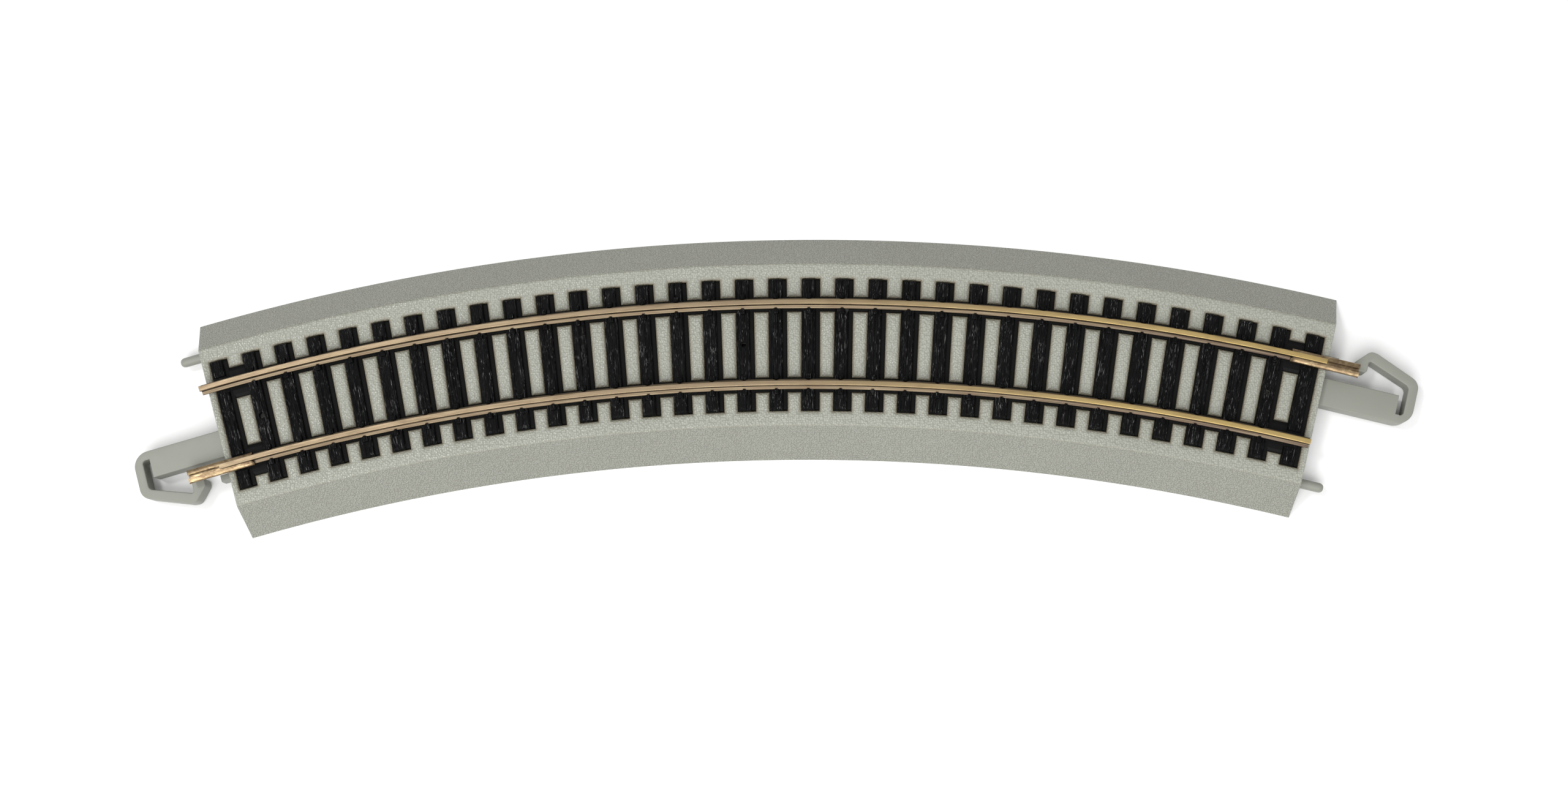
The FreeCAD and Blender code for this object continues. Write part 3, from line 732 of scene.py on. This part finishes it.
class Nodes:
    """Short names for building one material's node tree."""

    def __init__(self, name):
        self.material = bpy.data.materials.new(name)
        self.material.use_nodes = True
        self.tree = self.material.node_tree
        self.tree.nodes.clear()
        self.output = self.tree.nodes.new("ShaderNodeOutputMaterial")
        self.shader = self.tree.nodes.new("ShaderNodeBsdfPrincipled")
        self.link(self.shader.outputs[0], self.output.inputs[0])

    def link(self, source, target):
        self.tree.links.new(source, target)

    def add(self, kind, **settings):
        node = self.tree.nodes.new(kind)
        for key, value in settings.items():
            setattr(node, key, value)
        return node

    def put(self, node, name, value):
        if isinstance(value, bpy.types.NodeSocket):
            self.link(value, node.inputs[name])
        else:
            node.inputs[name].default_value = value

    def math(self, operation, *values):
        node = self.add("ShaderNodeMath", operation=operation)
        for index, value in enumerate(values):
            self.put(node, index, value)
        return node.outputs[0]

    def noise(self, vector, scale, detail=2.0, rough=0.5, distortion=0.0):
        node = self.add("ShaderNodeTexNoise")
        self.put(node, "Vector", vector)
        self.put(node, "Scale", scale)
        self.put(node, "Detail", detail)
        self.put(node, "Roughness", rough)
        self.put(node, "Distortion", distortion)
        return node.outputs[0]

    def voronoi(self, vector, scale, randomness):
        node = self.add("ShaderNodeTexVoronoi")
        self.put(node, "Vector", vector)
        self.put(node, "Scale", scale)
        self.put(node, "Randomness", randomness)
        return node.outputs["Distance"]

    def ramp(self, factor, stops):
        """A colour ramp; each stop is (place, colour or grey)."""
        node = self.add("ShaderNodeValToRGB")
        ramp = node.color_ramp
        while len(ramp.elements) < len(stops):
            ramp.elements.new(0.5)
        for element, (place, colour) in zip(ramp.elements, stops):
            element.position = place
            grey = (colour,) * 3 if isinstance(colour, (int, float)) else colour
            element.color = (*grey, 1)
        self.put(node, 0, factor)
        return node.outputs[0]

    def mix(self, factor, first, second, blend="MIX"):
        node = self.add("ShaderNodeMix", data_type="RGBA", blend_type=blend)
        self.put(node, 0, factor)
        self.put(node, 6, first if isinstance(first, bpy.types.NodeSocket) else (*first, 1))
        self.put(node, 7, second if isinstance(second, bpy.types.NodeSocket) else (*second, 1))
        return node.outputs[2]

    def bump(self, height, strength, distance, normal=None):
        node = self.add("ShaderNodeBump")
        self.put(node, "Height", height)
        self.put(node, "Strength", strength)
        self.put(node, "Distance", distance)
        if normal is not None:
            self.put(node, "Normal", normal)
        return node.outputs[0]

    def position(self):
        return self.add("ShaderNodeTexCoord").outputs["Object"]

    def curve_space(self):
        """Object position as (along the curve, across it, height), in metres."""
        place = self.add("ShaderNodeSeparateXYZ")
        self.put(place, 0, self.position())
        depth = self.math("ADD", place.outputs[1], CURVE_RADIUS * MM)
        angle = self.math("ARCTAN2", place.outputs[0], depth)
        along = self.math("MULTIPLY", angle, CURVE_RADIUS * MM)
        squares = self.math("ADD", self.math("POWER", place.outputs[0], 2.0),
                            self.math("POWER", depth, 2.0))
        across = self.math("SUBTRACT", self.math("SQRT", squares), CURVE_RADIUS * MM)
        joined = self.add("ShaderNodeCombineXYZ")
        self.put(joined, 0, along)
        self.put(joined, 1, across)
        self.put(joined, 2, place.outputs[2])
        return joined.outputs[0], along, across

    def stretch(self, vector, x, y, z):
        node = self.add("ShaderNodeMapping")
        self.put(node, "Vector", vector)
        self.put(node, "Scale", (x, y, z))
        return node.outputs[0]


def srgb(red, green, blue):
    """A colour given as 8-bit display values, as the linear values that a shader takes."""
    def linear(value):
        value /= 255
        return value / 12.92 if value <= 0.04045 else ((value + 0.055) / 1.055) ** 2.4
    return tuple(linear(v) for v in (red, green, blue))


BED_GREY = srgb(160, 162, 151)
BED_DARK = srgb(150, 151, 140)
SLOPE_GREY = srgb(156, 157, 147)
SLOPE_DARK = srgb(146, 147, 137)
TAB_GREY = srgb(138, 139, 130)


def bed_material(name, colour, dark, light, grain, height, roughness, dust_and_edge_shade, shade_in_gaps):
    """Grey moulded plastic with a pebbled mould grain.

    grain is the size of one pebble and height how far it stands up, in millimetres. light is the colour of
    the painted glints on the pebble tips. dust_and_edge_shade says how much dust and painted shade darken
    the rounded edges, and shade_in_gaps how dark the painted shade in the gaps between the pebbles is, from
    0 to 1.
    """
    m = Nodes(name)
    place = m.position()
    _, along, _ = m.curve_space()
    wander = m.add("ShaderNodeTexNoise")
    m.put(wander, "Vector", place)
    m.put(wander, "Scale", 1100.0)
    shifted = m.add("ShaderNodeVectorMath", operation="MULTIPLY_ADD")
    m.put(shifted, 0, wander.outputs[1])
    m.put(shifted, 1, (0.0002,) * 3)
    m.put(shifted, 2, place)
    cells = m.voronoi(shifted.outputs[0], 1 / (grain * MM), 0.72)
    pebbles = m.ramp(cells, [(0.0, 1.0), (0.3, 0.8), (0.75, 0.0)])
    fine = m.noise(place, 6000, 3)
    relief = m.math("ADD", pebbles, m.math("MULTIPLY", fine, 0.25))
    broad = m.noise(place, 45, 3)
    patches = m.noise(place, 160, 2)
    tone = m.mix(broad, dark, colour)
    # Painted highlight: the glints below fade from the left end of the track to the right.
    painted_glint_fade = m.add("ShaderNodeMapRange")
    m.put(painted_glint_fade, 0, along)
    m.put(painted_glint_fade, 1, -120 * MM)
    m.put(painted_glint_fade, 2, 120 * MM)
    m.put(painted_glint_fade, 3, 1.0)
    m.put(painted_glint_fade, 4, 0.3)
    # Painted shade: the gaps between the pebbles are darkened in the base colour.
    painted_gap_shade = m.math("MULTIPLY", m.ramp(cells, [(0.35, 0.0), (0.75, 1.0)]), shade_in_gaps)
    tone = m.mix(painted_gap_shade, tone, srgb(108, 107, 98))
    # Painted highlight: bright glints on the pebble tips, put into the base colour.
    glints = m.math("MULTIPLY", m.ramp(cells, [(0.05, 1.0), (0.22, 0.0)]),
                    m.ramp(patches, [(0.35, 0.4), (0.65, 1.0)]))
    tone = m.mix(m.math("MULTIPLY", glints, painted_glint_fade.outputs[0]), tone, light)
    level = m.add("ShaderNodeSeparateXYZ")
    m.put(level, 0, place)
    # Dust and painted shade: the surface turns darker and browner below the top, round the edges of pockets
    # and slots.
    dust_and_shade = m.add("ShaderNodeMapRange")
    m.put(dust_and_shade, 0, level.outputs[2])
    m.put(dust_and_shade, 1, (BED_HEIGHT - 0.005) * MM)
    m.put(dust_and_shade, 2, (BED_HEIGHT - 0.32) * MM)
    tone = m.mix(m.math("MULTIPLY", dust_and_shade.outputs[0], dust_and_edge_shade), tone, srgb(118, 110, 92))
    m.put(m.shader, "Base Color", tone)
    m.put(m.shader, "Roughness", m.math("MULTIPLY_ADD", m.noise(place, 900, 2), 0.16, roughness))
    m.put(m.shader, "Normal", m.bump(relief, 1.0, height * MM))
    m.shader.inputs["Specular IOR Level"].default_value = 0.5
    return m.material


def tab_material():
    m = Nodes("roadbed_satin")
    place = m.position()
    broad = m.noise(place, 70, 3)
    m.put(m.shader, "Base Color", m.mix(broad, srgb(130, 131, 122), TAB_GREY))
    m.put(m.shader, "Roughness", m.math("MULTIPLY_ADD", m.noise(place, 500, 3), 0.15, 0.42))
    m.put(m.shader, "Normal", m.bump(m.noise(place, 2500, 3), 0.25, 0.01 * MM))
    return m.material


def tie_material():
    """Black moulded plastic with lengthwise wood grain, bright scratches on the raised grain that also
    serve as painted highlights, and a painted lighter sheen on the lower ledges.
    """
    m = Nodes("tie_black")
    place, _, _ = m.curve_space()
    grain = m.noise(m.stretch(place, 5200, 420, 2600), 1.0, 4, 0.6)
    fine = m.noise(m.stretch(place, 9000, 360, 5000), 1.0, 2, 0.5, 1.6)
    patches = m.noise(m.stretch(place, 800, 420, 500), 1.0, 2, 0.5)
    # Bright scratches, which also serve as painted highlights on the grain.
    scratch_and_highlight = m.math("MULTIPLY", m.ramp(fine, [(0.63, 0.0), (0.71, 1.0)]),
                     m.ramp(patches, [(0.47, 0.15), (0.62, 0.9)]))
    level = m.add("ShaderNodeSeparateXYZ")
    m.put(level, 0, place)
    raised = m.add("ShaderNodeMapRange")
    m.put(raised, 0, level.outputs[2])
    m.put(raised, 1, 6.45 * MM)
    m.put(raised, 2, 6.75 * MM)
    tone = m.mix(grain, srgb(2, 2, 3), srgb(14, 14, 15))
    # Painted reflection: the lower ledges are a lighter grey than the raised tops.
    tone = m.mix(raised.outputs[0], srgb(20, 21, 20), tone)
    scratch_and_highlight = m.math("MULTIPLY", scratch_and_highlight, raised.outputs[0])
    m.put(m.shader, "Base Color", m.mix(m.math("MULTIPLY", scratch_and_highlight, 0.85), tone, srgb(172, 172, 170)))
    m.put(m.shader, "Roughness", m.math("MULTIPLY_ADD", grain, 0.3, 0.28))
    relief = m.math("ADD", grain, m.math("MULTIPLY", fine, 0.4))
    m.put(m.shader, "Normal", m.bump(relief, 0.9, 0.06 * MM))
    m.shader.inputs["Specular IOR Level"].default_value = 0.065
    return m.material


def along_mix(m, place, left, right):
    """A colour that changes gradually from the left end of the track to the right."""
    spread = m.add("ShaderNodeMapRange", interpolation_type="SMOOTHSTEP")
    m.put(spread, 0, place)
    m.put(spread, 1, -10 * MM)
    m.put(spread, 2, 110 * MM)
    return m.mix(spread.outputs[0], left, right)


def rail_material():
    """Drawn nickel silver with painted reflection and shade: a lighter head and a darker foot, whose
    colours change from the left end of the track to the right.
    """
    m = Nodes("nickel_silver")
    place, along, _ = m.curve_space()
    height = m.add("ShaderNodeSeparateXYZ")
    m.put(height, 0, place)
    lines = m.noise(m.stretch(place, 60, 9000, 9000), 1.0, 4, 0.6)
    stains = m.noise(m.stretch(place, 180, 1200, 1200), 1.0, 4, 0.6)
    top = m.add("ShaderNodeMapRange")
    m.put(top, 0, height.outputs[2])
    m.put(top, 1, (RAIL_TOP - 0.35) * MM)
    m.put(top, 2, (RAIL_TOP - 0.12) * MM)
    # Painted reflection and shade: head and foot colours, each shifting from the left end to the right.
    head = along_mix(m, along, srgb(140, 123, 100), srgb(196, 170, 110))
    foot = along_mix(m, along, srgb(88, 77, 63), srgb(62, 52, 47))
    colour = m.mix(top.outputs[0], foot, head)
    colour = m.mix(m.ramp(stains, [(0.45, 0.0), (0.75, 0.55)]), colour, srgb(96, 78, 62))
    colour = m.mix(m.ramp(lines, [(0.4, 0.0), (0.75, 0.25)]), colour, srgb(206, 188, 154))
    m.put(m.shader, "Base Color", colour)
    m.put(m.shader, "Metallic", 1.0)
    m.put(m.shader, "Roughness", m.math("MULTIPLY_ADD", stains, 0.25, 0.3))
    m.put(m.shader, "Normal", m.bump(lines, 0.6, 0.012 * MM))
    return m.material


def joiner_material():
    """Stamped nickel silver sheet, streaked lengthwise and browned by handling."""
    m = Nodes("joiner_nickel")
    place = m.position()
    streaks = m.noise(m.stretch(place, 900, 3500, 3500), 1.0, 4, 0.6)
    stains = m.noise(place, 420, 4, 0.65)
    tone = m.mix(m.ramp(stains, [(0.35, 0.0), (0.75, 1.0)]), srgb(150, 130, 100), srgb(88, 68, 54))
    worn = m.ramp(streaks, [(0.52, 0.0), (0.72, 0.6)])
    m.put(m.shader, "Base Color", m.mix(worn, tone, srgb(214, 194, 154)))
    m.put(m.shader, "Metallic", 1.0)
    m.put(m.shader, "Roughness", m.math("MULTIPLY_ADD", stains, 0.3, 0.2))
    m.put(m.shader, "Normal", m.bump(streaks, 0.5, 0.02 * MM))
    return m.material


# ---------------------------------------------------------------- the object

TOP = bed_material("roadbed_pebbled", BED_GREY, BED_DARK, srgb(244, 244, 238),
                   grain=0.47, height=0.085, roughness=0.34, dust_and_edge_shade=0.95, shade_in_gaps=0.4)
SLOPE = bed_material("roadbed_leather", SLOPE_GREY, SLOPE_DARK, srgb(172, 173, 164),
                     grain=0.36, height=0.16, roughness=0.42, dust_and_edge_shade=0.0, shade_in_gaps=0.55)
SATIN = tab_material()
TIE_BLACK = tie_material()
RAIL_METAL = rail_material()
JOINER_METAL = joiner_material()


def finish_bed(bed):
    """Gives each face of the roadbed the mould grain of the surface that it belongs to."""
    bed.data.materials.clear()
    for material in (TOP, SLOPE, SATIN):
        bed.data.materials.append(material)
    for face in bed.data.polygons:
        x, y, z = face.center / MM
        offset = math.hypot(x, y + CURVE_RADIUS) - CURVE_RADIUS
        angle = math.atan2(x, y + CURVE_RADIUS)
        if abs(angle) > HALF_ANGLE + 1e-5 or face.normal.z < 0.1:
            face.material_index = 2
        elif abs(offset) > BED_HALF_TOP:
            face.material_index = 1
        else:
            face.material_index = 0


roadbed = make_roadbed()
finish_bed(roadbed)
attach(roadbed, "track")
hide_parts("roadbed")

for end in ENDS:
    arm = make_latch_arm(end)
    shade(arm)
    arm.data.materials.append(SATIN)
    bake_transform(arm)
    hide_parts(f"{end}_latch_arm")

strip = make_tie_strip()
strip.data.materials.clear()
strip.data.materials.append(TIE_BLACK)
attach(strip, "track")
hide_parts("tie_strip")

for which, offset in (("outer", RAIL_OFFSET), ("inner", -RAIL_OFFSET)):
    rail = make_rail(which, offset)
    rail.data.materials.append(RAIL_METAL)
    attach(rail, "track")
    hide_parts(f"{which}_rail")

for end in ENDS:
    joiner = make_joiner(end)
    joiner.data.materials.append(JOINER_METAL)
    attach(joiner, f"{end}_joiner")
    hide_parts(f"{end}_rail_joiner")


# ---------------------------------------------------------------- camera, light and floor


def make_camera():
    """Almost straight above, turned as in the photograph: place in millimetres, turns in radians."""
    camera = bpy.data.objects.new("camera", bpy.data.cameras.new("camera"))
    bpy.context.scene.collection.objects.link(camera)
    camera.location = Vector((21.863, -78.153, 466.826)) * MM
    camera.rotation_mode = "ZYX"
    camera.rotation_euler = (0.141474, 0.037152, -0.022073)
    camera.data.sensor_width = 36
    camera.data.lens = 49.75
    camera.data.clip_start = 0.01
    camera.data.clip_end = 10
    bpy.context.scene.camera = camera


def make_floor():
    half = 3.0
    corners = [(x, y, 0) for x, y in rectangle(-half, half, -half, half)]
    floor = new_piece("floor", corners, [(0, 1, 2, 3)])
    floor.location.z = -0.00005
    m = Nodes("floor_pale")
    m.put(m.shader, "Base Color", (0.9, 0.9, 0.9, 1))
    m.put(m.shader, "Roughness", 0.9)
    floor.data.materials.append(m.material)


def add_light(name, place, size, energy):
    """A square softbox, placed in metres, that faces the middle of the track."""
    data = bpy.data.lights.new(name, "AREA")
    data.shape = "SQUARE"
    data.size = size
    data.energy = energy
    light = bpy.data.objects.new(name, data)
    bpy.context.scene.collection.objects.link(light)
    light.location = place
    light.rotation_euler = (-Vector(place)).to_track_quat("-Z", "Y").to_euler()


def make_light():
    add_light("key", (-0.3, -0.9, 1.3), 1.2, 20)
    add_light("glint", (-0.75, 0.35, 1.6), 0.3, 7)
    world = bpy.data.worlds.new("studio")
    world.use_nodes = True
    world.node_tree.nodes["Background"].inputs[0].default_value = (1, 1, 1, 1)
    world.node_tree.nodes["Background"].inputs[1].default_value = 0.62
    bpy.context.scene.world = world
    bpy.context.scene.view_settings.view_transform = "Standard"


make_camera()
make_floor()
make_light()
